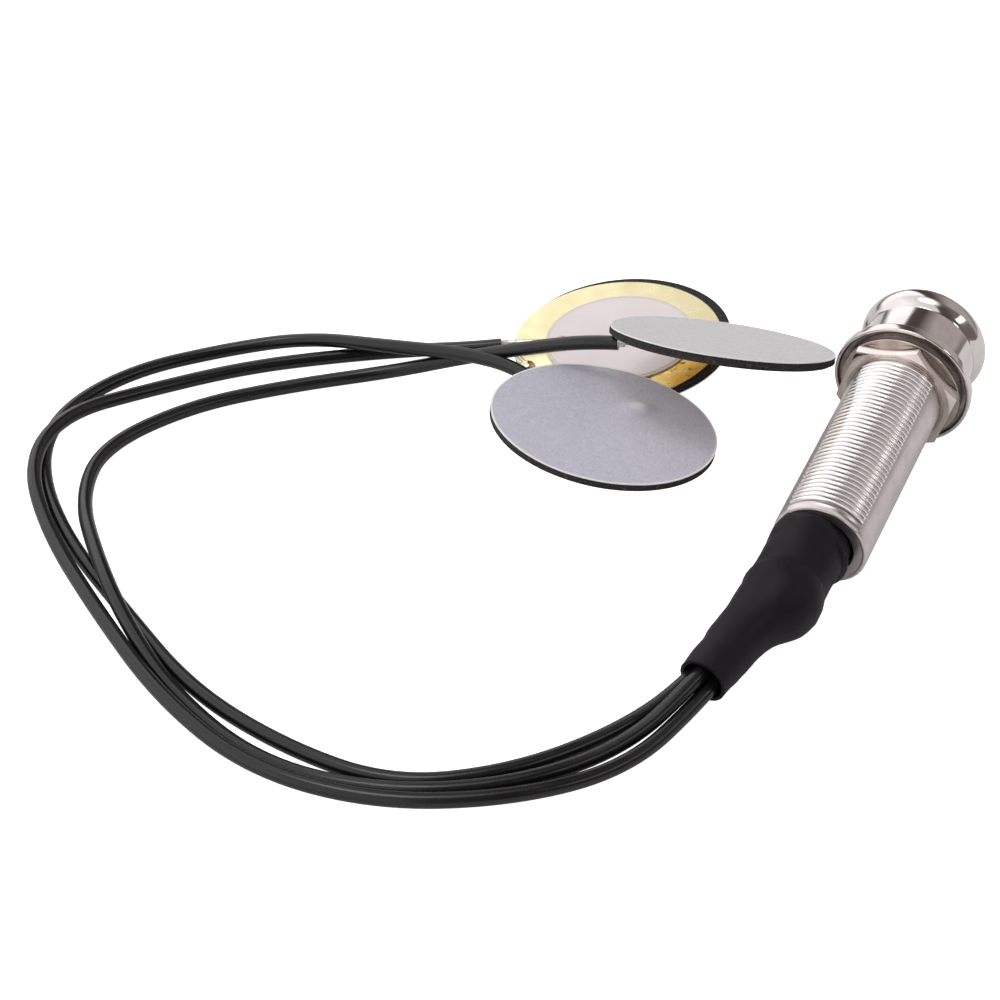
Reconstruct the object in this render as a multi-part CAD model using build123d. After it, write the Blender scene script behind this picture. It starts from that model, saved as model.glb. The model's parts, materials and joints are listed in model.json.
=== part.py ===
from build123d import *
import os
from math import asin, cos, degrees, pi, radians, sin, tan

# Piezo contact pickup: three bender discs on shielded leads, wired to an endpin jack.
# Millimetres. The origin is the middle of the strap button's seating face, on the jack's
# axis. +Z is up. The whole pickup lies on a flat surface, REST_HEIGHT below the origin.

# ---- endpin jack: barrel ----
THREAD_DIAMETER = 11.9
BLANK_DIAMETER = 11.2
THREAD_PITCH = 0.794
THREAD_SECTOR = 78.0
THREAD_BEARING = 110.0
BARREL_LENGTH = 30.4
END_RING_LENGTH = 2.4
END_RING_DIAMETER = 11.7
END_GROOVE_WIDTH = 0.7
END_ROUND = 0.7
BARREL_WALL = 0.8
CAVITY_DIAMETER = BLANK_DIAMETER - 2 * BARREL_WALL
PLUG_BORE_DIAMETER = 6.4
PLUG_BORE_LENGTH = 12.0
BORE_CHAMFER = 0.4

# ---- endpin jack: strap button ----
FLANGE_DIAMETER = 17.2
FLANGE_THICKNESS = 1.3
FLANGE_LIP_WIDTH = 0.7
FLANGE_DISH_DEPTH = 0.5
RIM_ROUND = 0.35
DISH_ROUND = 0.3
NECK_DIAMETER = 14.2
NECK_FILLET = 1.0
NECK_LENGTH = 4.9
FLARE_LENGTH = 1.2
FLARE_ROUND = 1.5
HEAD_DIAMETER = 15.0
HEAD_LENGTH = 10.9
HEAD_STEP = 0.2
HEAD_ROUND = 2.6
LIP_THICKNESS = 1.4
LIP_DIAMETER = 9.2
LIP_ROUND = 0.3
THREAD_CLEARANCE = 0.05

# ---- endpin jack: nut and washers ----
NUT_FLATS = 14.5
NUT_THICKNESS = 2.0
NUT_CHAMFER = 0.9
NUT_CHAMFER_HEIGHT = 0.4
NUT_BEARING = 49.0
WASHER_DIAMETER = 14.4
WASHER_THICKNESS = 0.7
LOCK_WASHER_DIAMETER = 14.0
LOCK_WASHER_THICKNESS = 0.8
LOCK_TEETH = 18
LOCK_SLOT_WIDTH = 1.1
LOCK_SLOT_DEPTH = 0.9

# ---- endpin jack: contacts ----
INSULATOR_THICKNESS = 1.0
FIT_CLEARANCE = 0.1
CONTACT_THICKNESS = 0.4
CONTACT_WIDTH = 2.6
CONTACT_HEIGHT = 1.0
CONTACT_STRAIGHT = 1.0
CONTACT_RISE = 2.0
CONTACT_REACH = 9.0
CONTACT_TIP = 1.5
CONTACT_LIFT = 3.6
CONTACT_DIMPLE = 2.5
LUG_LENGTH = 4.0
LUG_HOLE_INSET = 1.1
LUG_HOLE_DIAMETER = 1.2
GROUND_RING_WIDTH = 2.0
GROUND_LUG_HEIGHT = 3.1
GROUND_LUG_WIDTH = 2.4

# ---- how the jack lies: on the flange's edge and the barrel's end ----
JACK_BEARING = 65.4
JACK_TILT = degrees(asin((FLANGE_DIAMETER - THREAD_DIAMETER) / 2 / BARREL_LENGTH))
REST_HEIGHT = FLANGE_DIAMETER / 2 * cos(radians(JACK_TILT))

# ---- heat-shrink sleeve: each section's offset from the barrel's end, and its diameter ----
SLEEVE_WALL = 0.4
SLEEVE_INSERT = 2.0
SLEEVE_CLEARANCE = 0.3
SLEEVE_DIAMETER = CAVITY_DIAMETER - 2 * SLEEVE_CLEARANCE
SLEEVE_SECTIONS = [
    (-2.4, -3.0, -0.4, 8.4),
    (-4.0, -6.1, -0.7, 9.0),
    (-5.3, -8.6, -0.9, 9.7),
    (-8.0, -11.4, -1.4, 7.5),
    (-10.0, -13.7, -1.8, 6.5),
    (-11.8, -16.3, -2.2, 6.1),
    (-13.2, -18.2, -2.4, 5.9),
    (-14.5, -20.0, -2.7, 5.8),
]

# ---- leads: x, y and height of the route's corners, from the sleeve to the disc ----
LEAD_DIAMETER = 1.8
CORE_DIAMETER = 0.7
SHIELD_DIAMETER = 0.5
LEAD_ROUTES = {
    "front": [
        (-23.5, -40.5, 3.8), (-28.9, -47.9, 2.7), (-37.2, -53.8, 1.0), (-48.3, -59.4, 0.9),
        (-60.5, -61.2, 0.9), (-72.0, -55.6, 0.9), (-83.1, -46.4, 0.9), (-92.0, -33.0, 0.9),
        (-100.3, -20.2, 0.9), (-105.4, -6.8, 0.9), (-104.9, 4.4, 0.9), (-96.9, 13.9, 0.9),
        (-84.5, 19.0, 0.9), (-74.0, 20.0, 2.0), (-63.5, 15.5, 3.8), (-53.6, 12.1, 5.0),
    ],
    "right": [
        (-22.6, -41.2, 5.2), (-28.1, -48.9, 4.1), (-36.0, -56.3, 1.5), (-47.6, -61.5, 1.2),
        (-61.2, -62.9, 1.4), (-74.6, -58.2, 0.9), (-85.0, -47.2, 0.9), (-91.4, -36.4, 2.5),
        (-95.6, -26.4, 3.1), (-99.5, -13.0, 1.2), (-98.3, -2.2, 0.9), (-88.2, 6.4, 0.9),
        (-75.5, 10.9, 0.9), (-62.5, 14.6, 1.0), (-53.2, 14.8, 3.4), (-44.6, 10.5, 7.4),
    ],
    "back": [
        (-21.7, -41.9, 3.6), (-27.5, -50.0, 2.4), (-35.7, -59.1, 1.2), (-48.0, -63.8, 1.5),
        (-62.4, -64.6, 1.8), (-75.6, -59.8, 2.0), (-85.9, -49.1, 2.1), (-94.5, -34.8, 1.9),
        (-102.5, -19.9, 1.9), (-106.4, -7.4, 2.8), (-103.3, 2.2, 2.8), (-94.2, 9.7, 0.9),
        (-82.0, 14.8, 0.9), (-70.0, 17.4, 0.9), (-60.0, 18.8, 0.9),
    ],
}

# ---- piezo discs ----
PLATE_DIAMETER = 27.0
PLATE_THICKNESS = 0.25
CERAMIC_DIAMETER = 19.4
CERAMIC_SHIFT = -0.3
CERAMIC_THICKNESS = 0.22
SILVER_MARGIN = 0.5
SILVER_DIAMETER = CERAMIC_DIAMETER - 2 * SILVER_MARGIN
SILVER_THICKNESS = 0.05
PAD_DIAMETER = 27.8
PAD_THICKNESS = 0.8
PAD_SHIFTS = {"front": (0.0, 0.0), "right": (0.0, 0.0), "back": (-0.8, -0.6)}
LINER_THICKNESS = 0.12
LEAD_GAP = 0.15
LEAD_LAST_RUN = 4.0
WIRE_LEVEL_RUN = 0.8
WIRE_BEND = 0.4
CORE_SOLDER_INSET = 1.7
CORE_SOLDER_REACH = CERAMIC_SHIFT + SILVER_DIAMETER / 2 - CORE_SOLDER_INSET
CORE_SOLDER_RADIUS = 1.3
CORE_SOLDER_HEIGHT = 0.9
SHIELD_SOLDER_INSET = 1.6
SHIELD_SOLDER_REACH = PLATE_DIAMETER / 2 - SHIELD_SOLDER_INSET
SHIELD_SOLDER_SIDE = 4.0
SHIELD_SOLDER_RADIUS = 1.1
SHIELD_SOLDER_HEIGHT = 0.7
# x, y, height of the plate's ceramic side, its slopes in degrees, the bearing and the
# reach of the lead's end, and whether the ceramic faces up
DISCS = {
    "front": (-36.7, -6.1, 6.35, 9.4, 6.1, 126.0, 13.8, False),
    "right": (-22.0, 2.9, 12.2, 8.0, 25.1, 169.0, 12.7, False),
    "back": (-33.9, 18.4, 2.85, -6.3, 0.5, 181.5, 15.0, True),
}

THREAD_RADIUS = THREAD_DIAMETER / 2
BLANK_RADIUS = BLANK_DIAMETER / 2
BARREL_FRONT = HEAD_LENGTH - LIP_THICKNESS
BORE_RADIUS = THREAD_RADIUS + THREAD_CLEARANCE
LEAD_RADIUS = LEAD_DIAMETER / 2


def write(node, shape):
    """Save one named piece."""
    shape.label = node
    export_step(shape, f"parts/{node}.step")


def turned(points, rounds=None):
    """Solid of revolution about Z from (radius, height) points, with a round at each."""
    corners = [(r, 0, z) for r, z in points]
    if rounds is None:
        outline = Polyline(*corners, close=True)
    else:
        outline = FilletPolyline(*corners, radius=rounds, close=True)
    return revolve(make_face(outline), Axis.Z)


def ring(outer, inner, thickness, base=0.0):
    """Flat ring about Z with its lower face at the height base."""
    face = Circle(outer / 2) - Circle(inner / 2)
    return Pos(0, 0, base) * extrude(face, thickness)


def above_floor(point):
    """Point given by its height above the surface that the pickup lies on."""
    x, y, height = point
    return Vector(x, y, height - REST_HEIGHT)


# ---- endpin jack, about its own axis: Z runs from the barrel's end to the head ----
def sector(bearing, angle, radius, bottom, top):
    """Wedge of a cylinder, centred on a bearing about Z."""
    half = radians(angle / 2)
    reach = 2 * radius
    face = make_face(Polyline((0, 0), (reach, -reach * tan(half)), (reach, reach * tan(half)), close=True))
    return Rot(0, 0, bearing) * Pos(0, 0, bottom) * extrude(face, top - bottom)


def thread_ridges(bottom, top):
    """Stack of thread ridges as full rings, from the blank diameter outwards."""
    count = int((top - bottom) / THREAD_PITCH)
    core = BLANK_RADIUS - 0.2
    points = [(core, bottom), (BLANK_RADIUS, bottom)]
    for turn in range(count):
        height = bottom + turn * THREAD_PITCH
        points.append((THREAD_RADIUS, height + THREAD_PITCH * 0.4))
        points.append((THREAD_RADIUS, height + THREAD_PITCH * 0.6))
        points.append((BLANK_RADIUS, height + THREAD_PITCH))
    points.append((core, bottom + count * THREAD_PITCH))
    return turned(points)


def jack_barrel():
    """Die-cast tube: plug bore in front, cavity behind, thread on two opposite sectors."""
    bottom = -BARREL_LENGTH
    ring_top = bottom + END_RING_LENGTH
    end_round = min(END_ROUND, 0.9 * BARREL_WALL)
    body = turned(
        [
            (CAVITY_DIAMETER / 2, bottom),
            (BLANK_RADIUS, bottom),
            (BLANK_RADIUS, BARREL_FRONT),
            (PLUG_BORE_DIAMETER / 2 + BORE_CHAMFER, BARREL_FRONT),
            (PLUG_BORE_DIAMETER / 2, BARREL_FRONT - BORE_CHAMFER),
            (PLUG_BORE_DIAMETER / 2, BARREL_FRONT - PLUG_BORE_LENGTH),
            (CAVITY_DIAMETER / 2, BARREL_FRONT - PLUG_BORE_LENGTH),
        ],
        [0, end_round, 0, 0, 0, 0, 0],
    )
    end_ring = turned(
        [
            (BLANK_RADIUS - end_round, bottom),
            (END_RING_DIAMETER / 2, bottom),
            (END_RING_DIAMETER / 2, ring_top),
            (BLANK_RADIUS - end_round, ring_top),
        ],
        [0, end_round, end_round / 2, 0],
    )
    raised = end_ring + thread_ridges(ring_top + END_GROOVE_WIDTH, BARREL_FRONT)
    for bearing in (THREAD_BEARING, THREAD_BEARING + 180):
        wedge = sector(bearing, THREAD_SECTOR, THREAD_RADIUS, bottom, BARREL_FRONT)
        body += raised & wedge
    return body


def strap_button():
    """Turned button: dished flange, neck and rounded head, screwed on the barrel's front."""
    neck_top = FLANGE_THICKNESS + NECK_LENGTH
    return turned(
        [
            (BORE_RADIUS, FLANGE_DISH_DEPTH),
            (FLANGE_DIAMETER / 2 - FLANGE_LIP_WIDTH, FLANGE_DISH_DEPTH),
            (FLANGE_DIAMETER / 2 - FLANGE_LIP_WIDTH, 0),
            (FLANGE_DIAMETER / 2, 0),
            (FLANGE_DIAMETER / 2, FLANGE_THICKNESS),
            (NECK_DIAMETER / 2, FLANGE_THICKNESS),
            (NECK_DIAMETER / 2, neck_top),
            (HEAD_DIAMETER / 2 - HEAD_STEP, neck_top + FLARE_LENGTH),
            (HEAD_DIAMETER / 2, neck_top + FLARE_LENGTH),
            (HEAD_DIAMETER / 2, HEAD_LENGTH),
            (LIP_DIAMETER / 2, HEAD_LENGTH),
            (LIP_DIAMETER / 2, BARREL_FRONT),
            (BORE_RADIUS, BARREL_FRONT),
        ],
        [0, DISH_ROUND, 0, RIM_ROUND, RIM_ROUND, NECK_FILLET, FLARE_ROUND, 0, 0, HEAD_ROUND, LIP_ROUND, 0, 0],
    )


def lock_washer():
    """Internal-tooth washer against the flange."""
    base = FLANGE_DISH_DEPTH - LOCK_WASHER_THICKNESS
    blank = ring(LOCK_WASHER_DIAMETER, 2 * BORE_RADIUS, LOCK_WASHER_THICKNESS, base)
    slot = Box(2 * LOCK_SLOT_DEPTH, LOCK_SLOT_WIDTH, 4 * LOCK_WASHER_THICKNESS)
    slots = PolarLocations(BORE_RADIUS, LOCK_TEETH) * slot
    return blank - Compound(children=list(slots))


def flat_washer():
    """Plain washer between the lock washer and the nut."""
    base = FLANGE_DISH_DEPTH - LOCK_WASHER_THICKNESS - WASHER_THICKNESS
    return ring(WASHER_DIAMETER, 2 * BORE_RADIUS, WASHER_THICKNESS, base)


def hex_nut():
    """Thin hexagon nut, chamfered on both faces."""
    top = FLANGE_DISH_DEPTH - LOCK_WASHER_THICKNESS - WASHER_THICKNESS
    bottom = top - NUT_THICKNESS
    flats = RegularPolygon(NUT_FLATS / 2, 6, major_radius=False)
    hexagon = Pos(0, 0, bottom) * extrude(flats, NUT_THICKNESS)
    corner = NUT_FLATS / 2 / cos(radians(30))
    cone = turned(
        [
            (BORE_RADIUS, bottom),
            (corner - NUT_CHAMFER, bottom),
            (corner, bottom + NUT_CHAMFER_HEIGHT),
            (corner, top - NUT_CHAMFER_HEIGHT),
            (corner - NUT_CHAMFER, top),
            (BORE_RADIUS, top),
        ]
    )
    return Rot(0, 0, NUT_BEARING) * (hexagon & cone)


def insulator_base():
    """Height of the rear insulator's outer face."""
    return -BARREL_LENGTH + SLEEVE_INSERT + FIT_CLEARANCE + CONTACT_THICKNESS


def rear_insulator():
    """Fibre disc that holds the tip contact in the barrel's end."""
    disc = extrude(Circle(CAVITY_DIAMETER / 2 - FIT_CLEARANCE), INSULATOR_THICKNESS)
    slot = Box(CONTACT_WIDTH, CONTACT_THICKNESS, 4 * INSULATOR_THICKNESS)
    return Pos(0, 0, insulator_base()) * (disc - Pos(0, CONTACT_HEIGHT, 0) * slot)


def tip_contact():
    """Leaf spring for the plug's tip, with its solder lug behind the insulator."""
    rear = insulator_base() - LUG_LENGTH
    inside = insulator_base() + INSULATOR_THICKNESS
    path = Polyline(
        (CONTACT_HEIGHT, rear),
        (CONTACT_HEIGHT, inside + CONTACT_STRAIGHT),
        (CONTACT_LIFT, inside + CONTACT_STRAIGHT + CONTACT_RISE),
        (CONTACT_DIMPLE, inside + CONTACT_REACH - CONTACT_TIP),
        (CONTACT_LIFT, inside + CONTACT_REACH),
    )
    strip = extrude(Plane.YZ * trace(path, CONTACT_THICKNESS), CONTACT_WIDTH / 2, both=True)
    hole = Pos(0, CONTACT_HEIGHT, rear + LUG_HOLE_INSET) * Rot(90, 0, 0)
    return strip - hole * Cylinder(LUG_HOLE_DIAMETER / 2, 3 * CONTACT_THICKNESS)


def ground_lug():
    """Ring pressed in the barrel behind the insulator, with one lug to the rear."""
    outer = CAVITY_DIAMETER - 2 * FIT_CLEARANCE
    base = insulator_base() - CONTACT_THICKNESS
    collar = ring(outer, outer - 2 * GROUND_RING_WIDTH, CONTACT_THICKNESS, base)
    rear = base - LUG_LENGTH
    tab = Pos(0, -GROUND_LUG_HEIGHT, rear) * extrude(Rectangle(GROUND_LUG_WIDTH, CONTACT_THICKNESS), LUG_LENGTH)
    hole = Pos(0, -GROUND_LUG_HEIGHT, rear + LUG_HOLE_INSET) * Rot(90, 0, 0)
    return collar + tab - hole * Cylinder(LUG_HOLE_DIAMETER / 2, 3 * CONTACT_THICKNESS)


def jack_frame():
    """Where the jack's axis and its upright side lie in the part's frame."""
    bearing = radians(JACK_BEARING)
    tilt = radians(JACK_TILT)
    axis = (cos(bearing) * cos(tilt), sin(bearing) * cos(tilt), sin(tilt))
    side = (-sin(bearing), cos(bearing), 0)
    return Plane(origin=(0, 0, 0), x_dir=side, z_dir=axis).location


def side_of(solid):
    """The one curved face of a lofted solid with flat ends."""
    return [face for face in solid.faces() if face.geom_type != GeomType.PLANE][0]


def heat_shrink(jack):
    """Sleeve from inside the barrel, over the solder lugs, to its open mouth."""
    inner_end = jack * Pos(0, 0, -BARREL_LENGTH + SLEEVE_INSERT)
    outer_end = jack * Pos(0, 0, -BARREL_LENGTH)
    middles = [inner_end.position, outer_end.position]
    middles += [outer_end.position + Vector(*section[:3]) for section in SLEEVE_SECTIONS]
    diameters = [SLEEVE_DIAMETER, SLEEVE_DIAMETER] + [section[3] for section in SLEEVE_SECTIONS]
    outlines = []
    holes = []
    for index, diameter in enumerate(diameters):
        before = middles[max(index - 1, 0)]
        after = middles[min(index + 1, len(middles) - 1)]
        back = before - after
        frame = Plane(origin=middles[index], x_dir=Vector(0, 0, 1).cross(back), z_dir=back)
        outlines.append(frame * Circle(diameter / 2))
        holes.append(frame * Circle(diameter / 2 - SLEEVE_WALL))
    skins = [side_of(loft(outlines)), side_of(loft(holes))]
    rims = [(outlines[end] - holes[end]).face() for end in (0, -1)]
    return Solid(Shell(skins + rims))


# ---- piezo discs, about their own middle: +Z is the ceramic side, +X is the lead's side ----
def disc_frame(name):
    """Where a disc lies in the part's frame."""
    x, y, height, slope_x, slope_y, bearing, stop, ceramic_up = DISCS[name]
    normal = Vector(tan(radians(slope_x)), tan(radians(slope_y)), 1).normalized()
    toward = Vector(cos(radians(bearing)), sin(radians(bearing)), 0)
    toward = toward - normal * toward.dot(normal)
    side = normal if ceramic_up else -normal
    return Plane(origin=above_floor((x, y, height)), x_dir=toward, z_dir=side).location


def disc(diameter, thickness):
    """Thin round plate, standing on the XY plane."""
    return extrude(Circle(diameter / 2), thickness)


def dome(radius, height):
    """Spherical cap on the XY plane."""
    sphere = (radius**2 + height**2) / (2 * height)
    cap = Pos(0, 0, height - sphere) * Sphere(sphere)
    return cap & Pos(0, 0, height / 2) * Box(3 * radius, 3 * radius, height)


def wire(points, diameter, bend):
    """Round wire through points, square to its first run."""
    path = FilletPolyline(*points, radius=bend)
    start = Plane(origin=path @ 0, z_dir=path % 0)
    return sweep(start * Circle(diameter / 2), path)


def disc_pieces(name):
    """The named pieces of one disc, in the disc's own frame."""
    stop = DISCS[name][6]
    pad_x, pad_y = PAD_SHIFTS[name]
    silver_top = CERAMIC_THICKNESS + SILVER_THICKNESS
    pad_base = -PLATE_THICKNESS - PAD_THICKNESS
    lead_height = LEAD_GAP + LEAD_RADIUS
    core_at = (CORE_SOLDER_REACH, 0, silver_top)
    shield_at = (SHIELD_SOLDER_REACH, SHIELD_SOLDER_SIDE, 0)
    core_side = -LEAD_RADIUS / 3
    shield_side = LEAD_RADIUS / 2
    core_wire = wire(
        [
            (stop, core_side, lead_height),
            (stop - WIRE_LEVEL_RUN, core_side, lead_height),
            (CORE_SOLDER_REACH, 0, silver_top + CORE_SOLDER_HEIGHT / 2),
        ],
        CORE_DIAMETER,
        WIRE_BEND,
    )
    shield_wire = wire(
        [
            (stop, shield_side, lead_height),
            (stop - WIRE_LEVEL_RUN, shield_side, lead_height),
            (SHIELD_SOLDER_REACH, SHIELD_SOLDER_SIDE, SHIELD_SOLDER_HEIGHT / 2),
        ],
        SHIELD_DIAMETER,
        WIRE_BEND,
    )
    core_solder = Pos(*core_at) * dome(CORE_SOLDER_RADIUS, CORE_SOLDER_HEIGHT) - core_wire
    shield_solder = Pos(*shield_at) * dome(SHIELD_SOLDER_RADIUS, SHIELD_SOLDER_HEIGHT) - shield_wire
    pad = Pos(pad_x, pad_y, pad_base) * disc(PAD_DIAMETER, PAD_THICKNESS)
    liner = Pos(pad_x, pad_y, pad_base - LINER_THICKNESS) * disc(PAD_DIAMETER, LINER_THICKNESS)
    return {
        "brass_plate": Pos(0, 0, -PLATE_THICKNESS) * disc(PLATE_DIAMETER, PLATE_THICKNESS),
        "ceramic": Pos(CERAMIC_SHIFT, 0, 0) * disc(CERAMIC_DIAMETER, CERAMIC_THICKNESS),
        "silver_face": Pos(CERAMIC_SHIFT, 0, CERAMIC_THICKNESS) * disc(SILVER_DIAMETER, SILVER_THICKNESS),
        "foam_pad": pad,
        "release_liner": liner,
        "core_wire": core_wire,
        "core_solder": core_solder,
        "shield_wire": shield_wire,
        "shield_solder": shield_solder,
    }


# ---- leads ----
def bend_radii(points):
    """Radius at each corner: 0.45 of the shorter run, over the tangent of half the turn."""
    radii = []
    for before, corner, after in zip(points, points[1:], points[2:]):
        run_in = corner - before
        run_out = after - corner
        turn = radians(run_in.get_angle(run_out))
        radii.append(0.45 * min(run_in.length, run_out.length) / tan(turn / 2))
    return radii


def lead_points(name, frame):
    """Corners of a lead's route, the last run lying along its disc."""
    stop = DISCS[name][6]
    points = [above_floor(point) for point in LEAD_ROUTES[name]]
    for reach in (stop + LEAD_LAST_RUN, stop):
        points.append((frame * Pos(reach, 0, LEAD_GAP + LEAD_RADIUS)).position)
    return points


def lead(name, frame):
    """Jacketed lead from inside the sleeve to its stop at the disc."""
    points = lead_points(name, frame)
    radii = bend_radii(points)
    path = FilletPolyline(*points, radius=radii)
    tube = sweep(Plane(origin=path @ 0, z_dir=path % 0) * Circle(LEAD_RADIUS), path)
    filled = tube.volume / (pi * LEAD_RADIUS**2 * path.length)
    print(name, "lead length", round(path.length, 1), "volume over section x length", round(filled, 4))
    print("bend radii", [round(radius, 1) for radius in radii])
    return tube


os.makedirs("parts", exist_ok=True)
jack = jack_frame()
write("jack_barrel", jack * jack_barrel())
write("strap_button", jack * strap_button())
write("lock_washer", jack * lock_washer())
write("flat_washer", jack * flat_washer())
write("hex_nut", jack * hex_nut())
write("rear_insulator", jack * rear_insulator())
write("tip_contact", jack * tip_contact())
write("ground_lug", jack * ground_lug())
write("heat_shrink", heat_shrink(jack))
for name in DISCS:
    frame = disc_frame(name)
    for piece, shape in disc_pieces(name).items():
        write(f"{name}_{piece}", frame * shape)
    write(f"{name}_lead", lead(name, frame))
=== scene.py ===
import json
import math

import bpy
from mathutils import Matrix, Vector


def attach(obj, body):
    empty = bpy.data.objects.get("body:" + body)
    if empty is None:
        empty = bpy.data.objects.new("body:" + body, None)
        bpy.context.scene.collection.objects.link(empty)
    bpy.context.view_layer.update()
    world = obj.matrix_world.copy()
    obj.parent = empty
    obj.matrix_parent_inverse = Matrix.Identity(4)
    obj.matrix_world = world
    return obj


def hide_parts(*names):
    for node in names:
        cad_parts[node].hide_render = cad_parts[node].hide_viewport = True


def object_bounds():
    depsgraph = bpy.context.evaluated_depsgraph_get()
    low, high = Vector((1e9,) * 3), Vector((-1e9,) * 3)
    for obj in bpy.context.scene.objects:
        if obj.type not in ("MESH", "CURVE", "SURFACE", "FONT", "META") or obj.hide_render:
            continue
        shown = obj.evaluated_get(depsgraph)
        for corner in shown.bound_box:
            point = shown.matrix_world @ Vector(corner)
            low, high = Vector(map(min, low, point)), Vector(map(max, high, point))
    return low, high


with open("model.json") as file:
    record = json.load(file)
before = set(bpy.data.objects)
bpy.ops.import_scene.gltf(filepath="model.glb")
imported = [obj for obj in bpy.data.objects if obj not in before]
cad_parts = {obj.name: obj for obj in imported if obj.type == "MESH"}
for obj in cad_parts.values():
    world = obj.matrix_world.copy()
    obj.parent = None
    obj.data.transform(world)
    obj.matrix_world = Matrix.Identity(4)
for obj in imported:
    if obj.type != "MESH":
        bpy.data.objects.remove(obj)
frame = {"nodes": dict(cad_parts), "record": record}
cad_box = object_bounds()
floor_level = cad_box[0][2]
nodes = frame["nodes"]
mounts = {mount["name"]: mount for mount in frame["record"]["mounts"]}


# The jack's metal: barrel, strap button, nut and washers are turned or die cast, copper flashed
# and plated with bright nickel. The plate is a little warm and follows the casting's waviness,
# with hair-fine polishing lines and soft handling smears. Its recesses get a brown painted shade.
NICKEL = (0.68, 0.62, 0.6)
# A dark brown painted shade, for recesses and gaps round the jack's axis.
SHADE_BROWN = (0.07, 0.048, 0.036)
jack_axis = Vector(mounts["plug_bore"]["axis"])
to_jack = jack_axis.rotation_difference(Vector((0, 0, 1))).to_euler()


def finish(name, colour, roughness, metallic=0.0, specular=0.5):
    """A new material with its shader's plain values set, and the parts that get nodes."""
    material = bpy.data.materials.new(name)
    material.use_nodes = True
    tree = material.node_tree
    shader = tree.nodes["Principled BSDF"]
    shader.inputs["Base Color"].default_value = (*colour, 1.0)
    shader.inputs["Roughness"].default_value = roughness
    shader.inputs["Metallic"].default_value = metallic
    shader.inputs["Specular IOR Level"].default_value = specular
    return material, tree, shader


def place(tree, turn=(0, 0, 0), stretch=(1, 1, 1), origin=(0, 0, 0)):
    """Object coordinates, moved to an origin, turned, and stretched along the new axes."""
    source = tree.nodes.new("ShaderNodeTexCoord")
    moved = tree.nodes.new("ShaderNodeMapping")
    moved.inputs["Location"].default_value = tuple(-value for value in origin)
    turned = tree.nodes.new("ShaderNodeMapping")
    turned.inputs["Rotation"].default_value = turn
    scaled = tree.nodes.new("ShaderNodeMapping")
    scaled.inputs["Scale"].default_value = stretch
    tree.links.new(source.outputs["Object"], moved.inputs["Vector"])
    tree.links.new(moved.outputs[0], turned.inputs["Vector"])
    tree.links.new(turned.outputs[0], scaled.inputs["Vector"])
    return scaled.outputs[0]


def grain(tree, where, scale, detail=4.0, rough=0.55):
    """Noise at a scale in cells a metre."""
    noise = tree.nodes.new("ShaderNodeTexNoise")
    noise.inputs["Scale"].default_value = scale
    noise.inputs["Detail"].default_value = detail
    noise.inputs["Roughness"].default_value = rough
    tree.links.new(where, noise.inputs["Vector"])
    return noise.outputs["Fac"]


def spread(tree, value, low, high, to_low, to_high):
    """Maps one range of a value to another."""
    mapped = tree.nodes.new("ShaderNodeMapRange")
    mapped.inputs["From Min"].default_value = low
    mapped.inputs["From Max"].default_value = high
    mapped.inputs["To Min"].default_value = to_low
    mapped.inputs["To Max"].default_value = to_high
    tree.links.new(value, mapped.inputs["Value"])
    return mapped.outputs["Result"]


def blend(tree, factor, first, second):
    """One colour turning to another as the factor goes from 0 to 1."""
    mix = tree.nodes.new("ShaderNodeMix")
    mix.data_type = "RGBA"
    for socket, colour in ((mix.inputs[6], first), (mix.inputs[7], second)):
        if isinstance(colour, tuple):
            socket.default_value = (*colour, 1.0)
        else:
            tree.links.new(colour, socket)
    tree.links.new(factor, mix.inputs[0])
    return mix.outputs[2]


def relief(tree, shader, height, depth, strength=1.0, under=None):
    """Surface relief of a depth in metres from a value that goes from 0 to 1."""
    bump = tree.nodes.new("ShaderNodeBump")
    bump.inputs["Distance"].default_value = depth
    bump.inputs["Strength"].default_value = strength
    tree.links.new(height, bump.inputs["Height"])
    if under is not None:
        tree.links.new(under, bump.inputs["Normal"])
    tree.links.new(bump.outputs["Normal"], shader.inputs["Normal"])
    return bump.outputs["Normal"]


def coat(node, material):
    """Give a piece of the frame its finish."""
    piece = nodes[node]
    piece.data.materials.clear()
    piece.data.materials.append(material)


def joined(tree, operation, first, second):
    """Two values put together by a sum, a product, or the like."""
    node = tree.nodes.new("ShaderNodeMath")
    node.operation = operation
    for socket, value in zip(node.inputs, (first, second)):
        if isinstance(value, float):
            socket.default_value = value
        else:
            tree.links.new(value, socket)
    return node.outputs[0]


def off_axis(tree, where):
    """The distance from the Z axis of a place, and the height along that axis."""
    parts = tree.nodes.new("ShaderNodeSeparateXYZ")
    tree.links.new(where, parts.inputs[0])
    squares = [joined(tree, "POWER", parts.outputs[axis], 2.0) for axis in ("X", "Y")]
    return joined(tree, "SQRT", joined(tree, "ADD", *squares), 0.0), parts.outputs["Z"]


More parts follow.
